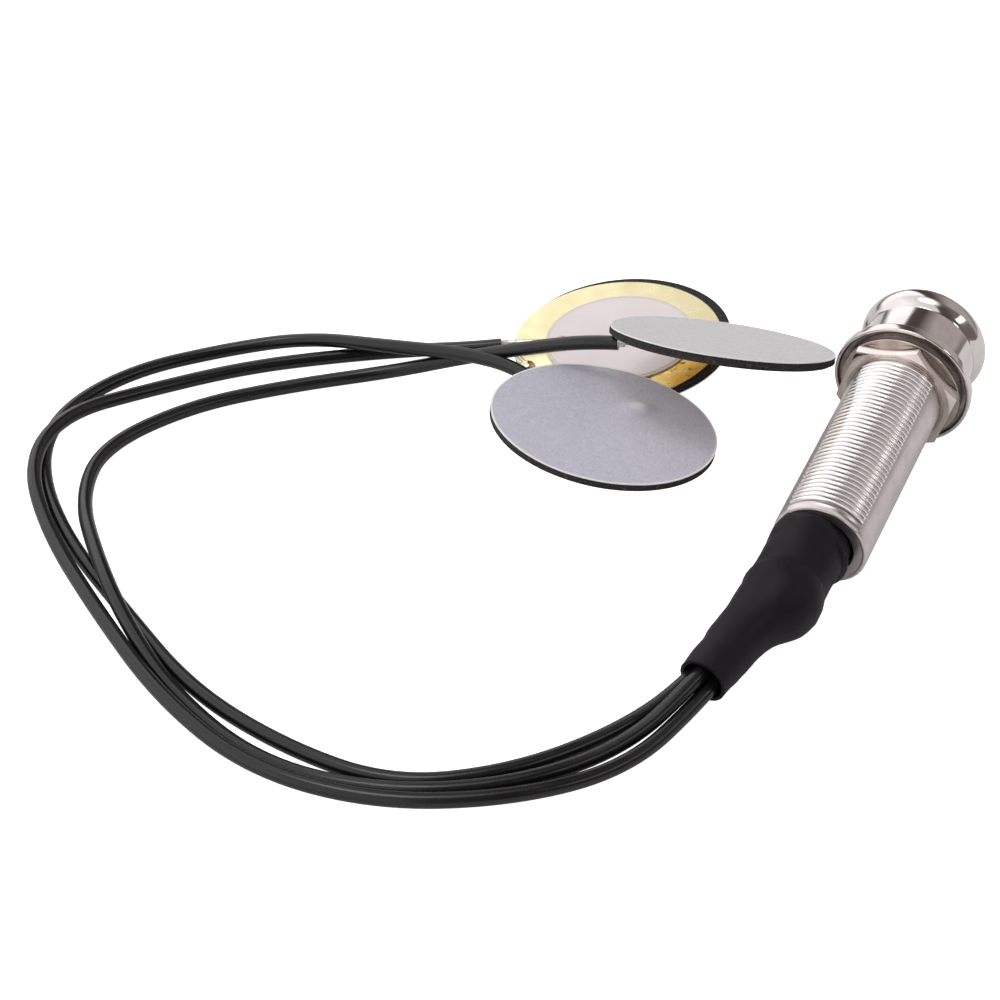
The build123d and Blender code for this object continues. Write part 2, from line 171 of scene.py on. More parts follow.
def plated(name, shine, roughness, turning, shade_radius=0.0, shade_height=0.1, darkness=0.0):
    """Nickel with turning lines round the jack's axis, and painted shade low down near that axis.

    The painted shade, of a darkness up to 1, keeps within its radius and under its height on the axis.
    """
    material, tree, shader = finish(name, NICKEL, roughness, 1.0)
    body = place(tree)
    haze = grain(tree, body, 420.0, 5.0)
    lines = grain(tree, place(tree, to_jack, (0.02, 0.02, 1.0)), 9000.0, 3.0)
    waves = grain(tree, body, 260.0, 1.0)
    tint = spread(tree, haze, 0.35, 0.7, 0.0, 1.0)
    bright = blend(tree, tint, shine, tuple(0.89 * value for value in shine))
    radius, height = off_axis(tree, place(tree, to_jack))
    near = spread(tree, radius, shade_radius - 0.00012, shade_radius + 0.00004, darkness, 0.0)
    low = spread(tree, height, shade_height, shade_height + 0.0001, 1.0, 0.0)
    patchy = spread(tree, haze, 0.3, 0.6, 0.7, 1.0)
    painted_shade = joined(tree, "MULTIPLY", joined(tree, "MULTIPLY", near, low), patchy)
    tree.links.new(blend(tree, painted_shade, bright, SHADE_BROWN), shader.inputs["Base Color"])
    smear = spread(tree, haze, 0.4, 0.72, roughness, roughness + 0.09)
    dull = joined(tree, "MULTIPLY", painted_shade, 0.3)
    tree.links.new(joined(tree, "ADD", smear, dull), shader.inputs["Roughness"])
    casting = relief(tree, shader, waves, 0.00004, 0.5)
    relief(tree, shader, lines, turning, 0.5, casting)
    return material


# Painted light and shade on the barrel: its nickel comes in two copies, a darker one on the plain
# sectors and the ends, and a lighter one on the threads.
shaded_cast_nickel = plated("shaded_cast_nickel", (0.66, 0.61, 0.605), 0.3, 0.0000006)
# Painted shade: the thread roots, below the crests, are painted dark brown.
threaded_nickel = plated(
    "threaded_nickel", (0.9, 0.87, 0.86), 0.18, 0.0000006, shade_radius=0.00568, darkness=1.0)
# Painted shade: the strap button's dish round the nut is painted dark brown.
turned_nickel = plated(
    "turned_nickel", (0.72, 0.665, 0.65), 0.09, 0.0000009,
    shade_radius=0.00812, shade_height=0.00065, darkness=0.7)
# Painted shade: the nut is painted darker round its hole, where it meets the barrel.
pressed_nickel = plated(
    "pressed_nickel", (0.74, 0.66, 0.62), 0.13, 0.0000004, shade_radius=0.0062, darkness=0.4)
# Painted shade: the washers, between the nut and the flange, are painted a patchy brown all over.
shaded_washer_nickel = plated(
    "shaded_washer_nickel", (0.82, 0.74, 0.69), 0.16, 0.0000004, shade_radius=0.0079, darkness=0.5)

# Barrel: a die-cast tube with its thread on two opposite sectors, where the mould halves don't
# part. The sectors between are plain and sit a little below the crests. A rounded lip closes
# each threaded sector at the rear end, behind a narrow groove.
THREAD_RADIUS = 5.95
ROOT_RADIUS = 5.5
BLANK_RADIUS = 5.7
THREAD_PITCH = 0.76
THREAD_START = 44.0
THREAD_SWEEP = 97.0
BARREL_REAR = -30.4
BARREL_FRONT = 9.5
CORE_RADIUS = 5.3
CAVITY_RADIUS = 4.8
REAR_HOLE = 4.0
REAR_LIP = 1.0
REAR_ROUND = 0.2
BORE_RADIUS = 3.2
BORE_REAR = -2.5
BORE_CHAMFER = 0.4
SECTOR_INSIDE = 5.1
LIP_ROUND = 0.75
LIP_EDGE = (5.82, 0.14)
BLANK_ROUND = 0.4
FIRST_ROOT = 0.2
sideways = Vector((-jack_axis.y, jack_axis.x, 0)).normalized()
along_jack = Matrix((sideways, jack_axis.cross(sideways), jack_axis)).transposed()


def arc(radius, height, size, first, last, count=8):
    """Points of a round of an outline about a centre, between two angles in degrees."""
    angles = [math.radians(first + (last - first) * step / count) for step in range(count + 1)]
    return [(radius + size * math.cos(angle), height + size * math.sin(angle)) for angle in angles]


def pick(piece):
    """Make one piece the only selected one, and the active one."""
    bpy.ops.object.select_all(action="DESELECT")
    piece.select_set(True)
    bpy.context.view_layer.objects.active = piece


def shaped(piece, kind, **settings):
    """Put a modifier on the active piece with its settings, and apply it."""
    modifier = piece.modifiers.new(kind.lower(), kind)
    for setting, value in settings.items():
        setattr(modifier, setting, value)
    bpy.ops.object.modifier_apply(modifier=modifier.name)


def lathed(name, outline, sweep=360.0, start=0.0, climb=0.0, steps=160):
    """A piece turned round the jack's axis from an outline of radius and height in millimetres.

    Less than a full sweep gives a closed sector, and climb is its rise along the axis.
    """
    curve = bpy.data.curves.new(name, "CURVE")
    curve.dimensions = "3D"
    spline = curve.splines.new("POLY")
    spline.points.add(len(outline) - 1)
    for point, (radius, height) in zip(spline.points, outline):
        point.co = (radius / 1000, 0, height / 1000, 1)
    spline.use_cyclic_u = True
    piece = bpy.data.objects.new(name, curve)
    bpy.context.collection.objects.link(piece)
    pick(piece)
    bpy.ops.object.convert(target="MESH")
    piece = bpy.context.object
    shaped(piece, "SCREW", axis="Z", angle=math.radians(sweep), steps=steps, render_steps=steps,
           screw_offset=climb / 1000, use_merge_vertices=sweep == 360.0, merge_threshold=0.000001)
    bpy.ops.object.mode_set(mode="EDIT")
    bpy.ops.mesh.select_all(action="SELECT")
    if sweep < 360.0:
        bpy.ops.mesh.fill_holes(sides=0)
        bpy.ops.mesh.select_all(action="SELECT")
    bpy.ops.mesh.normals_make_consistent(inside=False)
    bpy.ops.object.mode_set(mode="OBJECT")
    piece.matrix_world = (along_jack @ Matrix.Rotation(math.radians(start), 3, "Z")).to_4x4()
    bpy.ops.object.transform_apply(location=True, rotation=True, scale=True)
    bpy.ops.object.shade_smooth_by_angle(angle=math.radians(28))
    return piece


groove = BARREL_REAR + REAR_LIP
core = lathed("jack_barrel_metal", [
    (REAR_HOLE, groove), *arc(REAR_HOLE + REAR_ROUND, BARREL_REAR + REAR_ROUND, REAR_ROUND, 180, 270),
    (CORE_RADIUS, BARREL_REAR), (CORE_RADIUS, BARREL_FRONT), (BORE_RADIUS + BORE_CHAMFER, BARREL_FRONT),
    (BORE_RADIUS, BARREL_FRONT - BORE_CHAMFER), (BORE_RADIUS, BORE_REAR), (CAVITY_RADIUS, BORE_REAR),
    (CAVITY_RADIUS, groove)])
threaded = [
    (SECTOR_INSIDE, BARREL_FRONT), (SECTOR_INSIDE, BARREL_REAR),
    *arc(SECTOR_INSIDE, BARREL_REAR + LIP_ROUND, LIP_ROUND, 270, 360),
    (LIP_EDGE[0], groove - LIP_EDGE[1]), (ROOT_RADIUS + 0.05, groove), (ROOT_RADIUS, groove + 0.1)]
height = groove + FIRST_ROOT
while height < BARREL_FRONT - THREAD_PITCH:
    threaded += [
        (ROOT_RADIUS + 0.1, height + 0.08), (THREAD_RADIUS - 0.12, height + 0.17),
        (THREAD_RADIUS - 0.03, height + 0.23), (THREAD_RADIUS, height + 0.34),
        (THREAD_RADIUS, height + 0.44), (THREAD_RADIUS - 0.03, height + 0.55),
        (THREAD_RADIUS - 0.12, height + 0.61), (ROOT_RADIUS + 0.1, height + 0.7),
        (ROOT_RADIUS, height + THREAD_PITCH)]
    height += THREAD_PITCH
plain = [
    (SECTOR_INSIDE, BARREL_FRONT), (SECTOR_INSIDE, BARREL_REAR),
    *arc(BLANK_RADIUS - BLANK_ROUND, BARREL_REAR + BLANK_ROUND, BLANK_ROUND, 270, 360),
    (BLANK_RADIUS, BARREL_FRONT)]
climb = THREAD_PITCH * THREAD_SWEEP / 360
sectors = []
for turn in (0.0, 180.0):
    sectors.append(lathed("thread", threaded, THREAD_SWEEP, THREAD_START + turn, climb, 60))
    # The threads take the lighter copy. The lip below the groove takes the darker, painted-shade copy.
    sectors[-1].data.materials.append(threaded_nickel)
    sectors[-1].data.materials.append(shaded_cast_nickel)
    for face in sectors[-1].data.polygons:
        if face.center.dot(jack_axis) < (groove - 0.05) / 1000:
            face.material_index = 1
    blank_start = THREAD_START + THREAD_SWEEP + turn
    sectors.append(lathed("plain", plain, 180.0 - THREAD_SWEEP, blank_start, steps=60))
    sectors[-1].data.materials.append(shaded_cast_nickel)
core.data.materials.append(shaded_cast_nickel)
pick(core)
for sector in sectors:
    sector.select_set(True)
bpy.ops.object.join()
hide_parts("jack_barrel")
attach(core, "root")

# Strap button: turned brass, plated. A dished flange that bears on the guitar's end block, a
# plain neck, and a fat rounded head with the plug's hole in its face.
THREAD_HOLE = 5.98
FLANGE_RADIUS = 8.6
FLANGE_THICKNESS = 1.3
REAR_EDGE = 0.2
FRONT_EDGE = 0.3
DISH_RADIUS = 8.15
DISH_DEPTH = 0.5
DISH_ROUND = 0.25
DISH_EDGE = 0.12
NECK_RADIUS = 7.1
NECK_FILLET = 0.6
HEAD_FILLET = 0.3
HEAD_FILLET_HEIGHT = 6.77
HEAD_SLOPE = 45.3
HEAD_ROUND = 2.4
HEAD_ROUND_RADIUS = 5.5
HEAD_ROUND_HEIGHT = 8.69
FACE_HOLE = 4.6
FACE_EDGE = 0.3
head_face = HEAD_ROUND_HEIGHT + HEAD_ROUND
button = lathed("strap_button_metal", [
    (THREAD_HOLE, DISH_DEPTH), (DISH_RADIUS - DISH_ROUND, DISH_DEPTH),
    *arc(DISH_RADIUS - DISH_ROUND, DISH_DEPTH - DISH_ROUND, DISH_ROUND, 90, 0),
    *arc(DISH_RADIUS + DISH_EDGE, DISH_EDGE, DISH_EDGE, 180, 270),
    *arc(FLANGE_RADIUS - REAR_EDGE, REAR_EDGE, REAR_EDGE, 270, 360),
    *arc(FLANGE_RADIUS - FRONT_EDGE, FLANGE_THICKNESS - FRONT_EDGE, FRONT_EDGE, 0, 90),
    *arc(NECK_RADIUS + NECK_FILLET, FLANGE_THICKNESS + NECK_FILLET, NECK_FILLET, 270, 180),
    *arc(NECK_RADIUS + HEAD_FILLET, HEAD_FILLET_HEIGHT, HEAD_FILLET, 180, 180 - HEAD_SLOPE),
    *arc(HEAD_ROUND_RADIUS, HEAD_ROUND_HEIGHT, HEAD_ROUND, -HEAD_SLOPE, 90, 24),
    (FACE_HOLE + FACE_EDGE, head_face),
    *arc(FACE_HOLE + FACE_EDGE, head_face - FACE_EDGE, FACE_EDGE, 90, 180),
    (FACE_HOLE, BARREL_FRONT), (THREAD_HOLE, BARREL_FRONT)], steps=192)
button.data.materials.append(turned_nickel)
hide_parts("strap_button")
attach(button, "root")

# Fixing nut and washers: a lock washer in the flange's dish, with its teeth inside and out of
# sight, a plain washer on it, and a thin pressed nut, chamfered on both faces, that is turned
# down to them. The washers, between the nut and the flange, carry a patchy brown painted shade.
WASHER_HOLE = 6.0
LOCK_RADIUS = 7.28
LOCK_EDGE = 0.08
PLATE_RADIUS = 7.45
PLATE_EDGE = 0.12
NUT_FLATS = 13.4
NUT_TURN = 16.0
NUT_HOLE = 5.74
NUT_TOP = -0.7
NUT_BOTTOM = -2.7
NUT_CHAMFER = 0.9
NUT_CHAMFER_HEIGHT = 0.5
PAST_CORNER = 0.1
toothed = lathed("lock_washer_metal", [
    (WASHER_HOLE, DISH_DEPTH), (WASHER_HOLE, 0.0),
    *arc(LOCK_RADIUS - LOCK_EDGE, LOCK_EDGE, LOCK_EDGE, 270, 360, 3),
    *arc(LOCK_RADIUS - LOCK_EDGE, DISH_DEPTH - LOCK_EDGE, LOCK_EDGE, 0, 90, 3)])
plate = lathed("flat_washer_metal", [
    (WASHER_HOLE, 0.0), (WASHER_HOLE, NUT_TOP),
    *arc(PLATE_RADIUS - PLATE_EDGE, NUT_TOP + PLATE_EDGE, PLATE_EDGE, 270, 360, 4),
    *arc(PLATE_RADIUS - PLATE_EDGE, -PLATE_EDGE, PLATE_EDGE, 0, 90, 4)])
corner = NUT_FLATS / math.sqrt(3)
nut = lathed("hex_nut_metal", [
    (NUT_HOLE, NUT_BOTTOM), (corner - NUT_CHAMFER, NUT_BOTTOM),
    (corner + PAST_CORNER, NUT_BOTTOM + NUT_CHAMFER_HEIGHT),
    (corner + PAST_CORNER, NUT_TOP - NUT_CHAMFER_HEIGHT),
    (corner - NUT_CHAMFER, NUT_TOP), (NUT_HOLE, NUT_TOP)])
bpy.ops.object.select_all(action="DESELECT")
bpy.ops.mesh.primitive_cylinder_add(vertices=6, radius=corner / 1000, depth=0.004)
prism = bpy.context.object
prism.matrix_world = Matrix.Translation(jack_axis * (NUT_TOP / 1000)) @ (
    along_jack @ Matrix.Rotation(math.radians(NUT_TURN), 3, "Z")).to_4x4()
pick(nut)
shaped(nut, "BOOLEAN", operation="INTERSECT", object=prism)
bpy.data.objects.remove(prism)
shaped(nut, "BEVEL", width=0.00008, segments=3, limit_method="ANGLE", angle_limit=math.radians(25))
bpy.ops.object.shade_smooth_by_angle(angle=math.radians(20))
for piece, node, plating in (
        (toothed, "lock_washer", shaded_washer_nickel), (plate, "flat_washer", shaded_washer_nickel),
        (nut, "hex_nut", pressed_nickel)):
    piece.data.materials.clear()
    piece.data.materials.append(plating)
    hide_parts(node)
    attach(piece, "root")

# Inside the barrel's end: a disc of brown vulcanised fibre holds the tip contact, a leaf of
# tinned spring brass, and the ground lug's ring is pressed in behind it.
fibre, tree, shader = finish("insulator_fibre", (0.16, 0.08, 0.045), 0.65)
speck = grain(tree, place(tree, (0, 0, 0), (1, 1, 3)), 2500.0)
tree.links.new(blend(tree, speck, (0.2, 0.1, 0.055), (0.1, 0.05, 0.03)), shader.inputs["Base Color"])
relief(tree, shader, speck, 0.00003)
coat("rear_insulator", fibre)
spring, tree, shader = finish("contact_brass", (0.72, 0.62, 0.38), 0.3, 1.0)
rolled = grain(tree, place(tree, to_jack, (30, 30, 1)), 900.0)
tree.links.new(blend(tree, rolled, (0.78, 0.7, 0.5), (0.6, 0.5, 0.3)), shader.inputs["Base Color"])
relief(tree, shader, rolled, 0.000004)
coat("tip_contact", spring)
coat("ground_lug", spring)

# Heat-shrink sleeve: black polyolefin tube, shrunk with hot air over the lugs, the soldered
# joints and the start of the three leads. It is wide where it comes out of the barrel, swells
# over the joints and draws in tight on the leads, with small puckers in between.
SLEEVE_WALL = 0.0004
barrel_end = Vector((-0.012607, -0.027536, floor_level + 0.005917))
shrink, tree, shader = finish("shrink_tube", (0.005, 0.004, 0.006), 0.55, 0.0, 0.19)
shader.inputs["Specular Tint"].default_value = (0.97, 0.88, 1.0, 1.0)
body = place(tree)
matt = grain(tree, body, 1400.0, 5.0)
cloud = grain(tree, body, 160.0, 2.0)
tree.links.new(spread(tree, cloud, 0.35, 0.7, 0.48, 0.6), shader.inputs["Roughness"])
black = blend(tree, cloud, (0.006, 0.005, 0.007), (0.0095, 0.0082, 0.0108))
tree.links.new(black, shader.inputs["Base Color"])
fine = relief(tree, shader, matt, 0.00002, 0.6)
relief(tree, shader, cloud, 0.0003, 0.35, fine)

# Places from the barrel's end and diameters along the sleeve, in millimetres.
sections = [
    (jack_axis * 2.0, 7.7), ((-0.2, 0.0, 0.1), 7.9), ((-1.2, -0.8, 0.3), 9.2),
    ((-2.2, -2.7, 0.1), 9.1), ((-4.0, -6.1, -0.7), 9.0), ((-5.3, -8.6, -0.9), 9.7),
    ((-8.0, -11.4, -1.4), 7.5), ((-10.0, -13.7, -1.8), 6.5), ((-11.8, -16.3, -2.2), 6.1),
    ((-13.2, -18.2, -2.4), 5.9), ((-14.5, -20.0, -2.7), 5.8),
]
tube = bpy.data.curves.new("heat_shrink_sleeve", "CURVE")
tube.dimensions = "3D"
run = tube.splines.new("BEZIER")
run.bezier_points.add(len(sections) - 1)
for point, (offset, diameter) in zip(run.bezier_points, sections):
    point.co = barrel_end + Vector(offset) / 1000
    point.handle_left_type = "AUTO"
    point.handle_right_type = "AUTO"
    point.radius = diameter / 2000
run.radius_interpolation = "CARDINAL"
run.resolution_u = 10
tube.bevel_depth = 1.0
tube.bevel_resolution = 14
sleeve = bpy.data.objects.new("heat_shrink_sleeve", tube)
bpy.context.collection.objects.link(sleeve)
pick(sleeve)
bpy.ops.object.convert(target="MESH")
sleeve = bpy.context.object
bpy.ops.object.mode_set(mode="EDIT")
bpy.ops.mesh.select_all(action="SELECT")
bpy.ops.mesh.remove_doubles(threshold=0.00001)
bpy.ops.mesh.normals_make_consistent(inside=False)
bpy.ops.object.mode_set(mode="OBJECT")
puckers = bpy.data.textures.new("puckers", "CLOUDS")
puckers.noise_scale = 0.0035
puckers.noise_depth = 2
shaped(sleeve, "DISPLACE", texture=puckers, texture_coords="LOCAL", mid_level=0.6, strength=0.0003)
shaped(sleeve, "SOLIDIFY", thickness=SLEEVE_WALL, offset=-1.0)
sleeve.data.materials.clear()
sleeve.data.materials.append(shrink)
bpy.ops.object.shade_smooth_by_angle(angle=math.radians(50))
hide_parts("heat_shrink")
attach(sleeve, "root")

# Leads: thin single-core shielded cable in a glossy black jacket, one to each disc. They
# leave the sleeve together and lie in a loose open loop on the table.
LEAD_DIAMETER = 0.0018
jacket, tree, shader = finish("lead_jacket", (0.006, 0.0055, 0.006), 0.25, 0.0, 0.45)
body = place(tree)
skin = grain(tree, body, 900.0, 4.0)
dust = grain(tree, body, 140.0, 3.0)
tree.links.new(spread(tree, dust, 0.4, 0.7, 0.22, 0.34), shader.inputs["Roughness"])
black = blend(tree, dust, (0.004, 0.0037, 0.0042), (0.009, 0.0085, 0.0095))
tree.links.new(black, shader.inputs["Base Color"])
relief(tree, shader, skin, 0.00002, 0.4)


def lead(name, points):
    """A free lead through its route's corners, given in millimetres above the table."""
    curve = bpy.data.curves.new(name, "CURVE")
    curve.dimensions = "3D"
    spline = curve.splines.new("NURBS")
    spline.points.add(len(points) - 1)
    for point, (x, y, height) in zip(spline.points, points):
        point.co = (x / 1000, y / 1000, floor_level + height / 1000, 1.0)
    spline.order_u = 3
    spline.use_endpoint_u = True
    spline.resolution_u = 10
    curve.bevel_depth = LEAD_DIAMETER / 2
    curve.bevel_resolution = 5
    curve.use_fill_caps = True
    curve.materials.append(jacket)
    piece = bpy.data.objects.new(name, curve)
    bpy.context.collection.objects.link(piece)
    return piece


front_route = [
    (-23.5, -40.5, 3.8), (-28.9, -47.9, 2.7), (-37.2, -53.8, 1.0), (-48.3, -59.4, 0.9),
    (-60.5, -61.2, 0.9), (-72.0, -55.6, 0.9), (-83.1, -46.4, 0.9), (-92.0, -33.0, 0.9),
    (-100.3, -20.2, 0.9), (-105.4, -6.8, 0.9), (-104.9, 4.4, 0.9), (-96.9, 13.9, 0.9),
    (-84.5, 19.0, 0.9), (-74.0, 20.0, 2.0), (-63.5, 15.5, 3.8), (-53.6, 12.1, 5.0),
    (-47.1, 8.3, 5.6), (-44.8, 5.1, 5.6),
]
right_route = [
    (-22.6, -41.2, 5.2), (-28.1, -48.9, 4.1), (-36.0, -56.3, 1.5), (-47.6, -61.5, 1.2),
    (-61.2, -62.9, 1.4), (-74.6, -58.2, 0.9), (-85.0, -47.2, 0.9), (-91.4, -36.4, 2.5),
    (-95.6, -26.4, 3.1), (-99.5, -13.0, 1.2), (-98.3, -2.2, 0.9), (-88.2, 6.4, 0.9),
    (-75.5, 10.9, 0.9), (-62.5, 13.6, 1.2), (-53.2, 12.8, 4.0), (-44.9, 9.3, 7.9),
    (-38.6, 6.2, 10.9), (-34.5, 5.3, 11.3),
]
back_route = [
    (-21.7, -41.9, 3.6), (-27.5, -50.0, 2.4), (-35.7, -59.1, 1.2), (-48.0, -63.8, 1.5),
    (-62.4, -64.6, 1.8), (-75.6, -59.8, 2.0), (-85.9, -49.1, 2.1), (-94.5, -34.8, 1.9),
    (-102.5, -19.9, 1.9), (-106.4, -7.4, 2.8), (-103.3, 2.2, 2.8), (-94.2, 9.7, 0.9),
    (-82.0, 14.8, 0.9), (-70.0, 17.4, 0.9), (-60.0, 18.8, 0.9),
    (-52.9, 17.9, 1.8), (-48.9, 18.0, 2.2),
]
routes = {"front": front_route, "right": right_route, "back": back_route}
for name, route in routes.items():
    piece = lead(f"lead_to_{name}_disc", route)
    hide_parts(f"{name}_lead")
    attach(piece, "root")

# Lead ends: the jacket is cut back at each disc, and the core's white polythene sheath shows
# for under a millimetre before the bare strands go on to the solder.
SHEATH_RADIUS = 0.00045
SHEATH_LENGTH = 0.0011
PAST_JACKET = 0.0009
BESIDE_JOINT = 0.0003
polythene, tree, shader = finish("core_sheath", (0.82, 0.82, 0.8), 0.4)
shader.inputs["Subsurface Weight"].default_value = 0.15
shader.inputs["Subsurface Radius"].default_value = (0.0006, 0.0006, 0.0005)
milky = grain(tree, place(tree), 1800.0)
tree.links.new(blend(tree, milky, (0.86, 0.86, 0.84), (0.74, 0.74, 0.72)), shader.inputs["Base Color"])
relief(tree, shader, milky, 0.00001)
for name, route in routes.items():
    before, last = [Vector((x, y, height)) / 1000 for x, y, height in route[-2:]]
    toward = (before - last).normalized()
    outward = Vector(mounts[f"{name}_pad_face"]["axis"])
    across = (-outward).cross(toward)
    jacket_end = last + Vector((0, 0, floor_level))
    middle = jacket_end - toward * (PAST_JACKET - SHEATH_LENGTH / 2) - across * BESIDE_JOINT
    bpy.ops.object.select_all(action="DESELECT")
    bpy.ops.mesh.primitive_cylinder_add(
        vertices=32, radius=SHEATH_RADIUS, depth=SHEATH_LENGTH, location=middle,
        rotation=Vector((0, 0, 1)).rotation_difference(toward).to_euler())
    sheath = bpy.context.object
    sheath.name = f"{name}_core_sheath"
    bpy.ops.object.mode_set(mode="EDIT")
    bpy.ops.mesh.select_all(action="SELECT")
    bpy.ops.mesh.bevel(offset=0.00012, segments=3)
    bpy.ops.object.mode_set(mode="OBJECT")
    bpy.ops.object.transform_apply(location=True, rotation=True, scale=True)
    bpy.ops.object.shade_smooth_by_angle(angle=math.radians(40))
    sheath.data.materials.append(polythene)
    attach(sheath, "root")

# Bender discs: a stamped brass plate with a fired ceramic disc bonded on it, and silver paint
# over the ceramic for the second electrode. Round a spot under the right disc, the back disc's
# brass is painted amber as painted shade and reflection of that disc, with dark scorch specks on
# it. The sheared edge is painted dark: tarnish, and on the front and right discs painted shade too.
BRASS_RADIUS = 0.0135
# Painted shade: a spot on the back disc's brass, under the right disc, is painted amber.
SHADED_BRASS_SPOT = (-0.0255, 0.0095, floor_level + 0.0038)
# How dark each disc's sheared edge is painted: tarnish on the back disc, and painted shade as well on
# the front and right discs, whose edges lie underneath.
EDGE_TARNISH_AND_SHADE = {"front": 0.9, "right": 0.97, "back": 0.3}
DISC_MIDDLES = {
    "front": (-0.0367, -0.0061, 0.00635),
    "right": (-0.022, 0.0029, 0.0122),
    "back": (-0.0339, 0.0184, 0.00285),
}


def away(tree, spot):
    """The distance from a spot of the object, in metres."""
    distance = tree.nodes.new("ShaderNodeVectorMath")
    distance.operation = "DISTANCE"
    distance.inputs[1].default_value = spot
    tree.links.new(place(tree), distance.inputs[0])
    return distance.outputs["Value"]


for name, (x, y, height) in DISC_MIDDLES.items():
    middle = Vector((x, y, floor_level + height))
    outward = Vector(mounts[f"{name}_pad_face"]["axis"])
    flat = outward.rotation_difference(Vector((0, 0, 1))).to_euler()

    brass, tree, shader = finish(f"{name}_plate_brass", (0.9, 0.79, 0.48), 0.3, 1.0)
    body = place(tree)
    rolled = grain(tree, place(tree, flat, (60, 2, 1)), 500.0, 4.0)
    stain = grain(tree, body, 330.0, 4.0, 0.65)
    spots = grain(tree, body, 700.0, 2.0)
    clean = blend(tree, stain, (0.97, 0.88, 0.58), (0.9, 0.78, 0.46))
    # Painted shade and reflection: amber round the spot under the right disc, with dark scorch specks.
    close = spread(tree, away(tree, SHADED_BRASS_SPOT), 0.002, 0.0085, 1.0, 0.0)
    amber_shade = joined(tree, "MULTIPLY", close, spread(tree, stain, 0.3, 0.6, 0.7, 1.0))
    shaded_brass = blend(tree, amber_shade, clean, (0.76, 0.46, 0.05))
    splashes = spread(tree, spots, 0.58, 0.72, 0.0, 1.0)
    burnt = joined(tree, "MULTIPLY", splashes, spread(tree, close, 0.3, 0.5, 0.0, 1.0))
    worked = blend(tree, burnt, shaded_brass, (0.12, 0.06, 0.02))
    radius = off_axis(tree, place(tree, flat, (1, 1, 1), middle))[0]
    rim = (BRASS_RADIUS - 0.00012, BRASS_RADIUS - 0.00005)
    # The sheared edge painted dark: tarnish, and on the front and right discs painted shade too.
    sheared = spread(tree, radius, *rim, 0.0, EDGE_TARNISH_AND_SHADE[name])
    tree.links.new(blend(tree, sheared, worked, (0.02, 0.014, 0.01)), shader.inputs["Base Color"])
    tree.links.new(spread(tree, stain, 0.3, 0.7, 0.24, 0.42), shader.inputs["Roughness"])
    relief(tree, shader, rolled, 0.000003, 0.6)
    coat(f"{name}_brass_plate", brass)

    ceramic, tree, shader = finish(f"{name}_piezo_ceramic", (0.72, 0.66, 0.6), 0.6)
    fired = grain(tree, place(tree), 1500.0)
    buff = blend(tree, fired, (0.78, 0.72, 0.66), (0.64, 0.58, 0.52))
    tree.links.new(buff, shader.inputs["Base Color"])
    relief(tree, shader, fired, 0.00001)
    coat(f"{name}_ceramic", ceramic)

    silver, tree, shader = finish(f"{name}_silver_paint", (0.8, 0.74, 0.73), 0.5, 0.25)
    body = place(tree)
    printed = grain(tree, body, 3000.0, 3.0)
    patch = grain(tree, body, 220.0, 3.0)
    pale = blend(tree, patch, (0.83, 0.76, 0.78), (0.77, 0.7, 0.69))
    tree.links.new(pale, shader.inputs["Base Color"])
    tree.links.new(spread(tree, patch, 0.3, 0.7, 0.42, 0.6), shader.inputs["Roughness"])
    relief(tree, shader, printed, 0.000008, 0.6)
    coat(f"{name}_silver_face", silver)

# Joints on the discs: small domes of solder, wetted out on the silver and the brass, with the
# amber gloss of rosin left on them, and tinned copper strands leading in.
solder, tree, shader = finish("solder_joint", (0.72, 0.7, 0.68), 0.2, 1.0)
body = place(tree)
cooled = grain(tree, body, 1500.0, 3.0)
rosin = spread(tree, grain(tree, body, 650.0, 2.0), 0.46, 0.6, 0.0, 1.0)
tree.links.new(blend(tree, rosin, (0.8, 0.78, 0.76), (0.7, 0.47, 0.13)), shader.inputs["Base Color"])
tree.links.new(spread(tree, cooled, 0.3, 0.7, 0.12, 0.34), shader.inputs["Roughness"])
relief(tree, shader, cooled, 0.00006, 0.7)
strands, tree, shader = finish("tinned_strands", (0.74, 0.71, 0.68), 0.28, 1.0)
twist = grain(tree, place(tree), 2600.0, 2.0)
tree.links.new(blend(tree, twist, (0.8, 0.78, 0.75), (0.5, 0.42, 0.36)), shader.inputs["Base Color"])
relief(tree, shader, twist, 0.00005)
for name in DISC_MIDDLES:
    coat(f"{name}_core_solder", solder)
    coat(f"{name}_shield_solder", solder)
    coat(f"{name}_core_wire", strands)
    coat(f"{name}_shield_wire", strands)

# Foam pads: discs die cut from black adhesive foam. Their faces are skinned flat, and the cut
# edge shows open cells and is slightly ragged and drawn in at the middle.
PAD_RADIUS = 0.0139
PAD_THICKNESS = 0.0008
LINER_THICKNESS = 0.00012
SKIN_INSET = 0.0003
foam, tree, shader = finish("cell_foam", (0.02, 0.019, 0.02), 0.9, 0.0, 0.3)
body = place(tree)
cells = tree.nodes.new("ShaderNodeTexVoronoi")
cells.inputs["Scale"].default_value = 4200.0
tree.links.new(body, cells.inputs["Vector"])
walls = spread(tree, cells.outputs["Distance"], 0.05, 0.55, 0.0, 1.0)
tone = grain(tree, body, 1600.0, 3.0)
dark = blend(tree, walls, (0.008, 0.0075, 0.008), (0.034, 0.032, 0.034))
fleck = spread(tree, tone, 0.62, 0.7, 0.0, 0.6)
tree.links.new(blend(tree, fleck, dark, (0.11, 0.105, 0.11)), shader.inputs["Base Color"])
relief(tree, shader, walls, 0.00012, 0.8)


def lay_on_disc(piece, name, drop):
    """Turn a piece made about the origin to a disc's face and sink it by a drop below it."""
    face = mounts[f"{name}_pad_face"]
    outward = Vector(face["axis"])
    piece.rotation_euler = Vector((0, 0, 1)).rotation_difference(outward).to_euler()
    piece.location = Vector(face["pos_m"]) - outward * drop
    pick(piece)
    bpy.ops.object.transform_apply(location=True, rotation=True, scale=True)


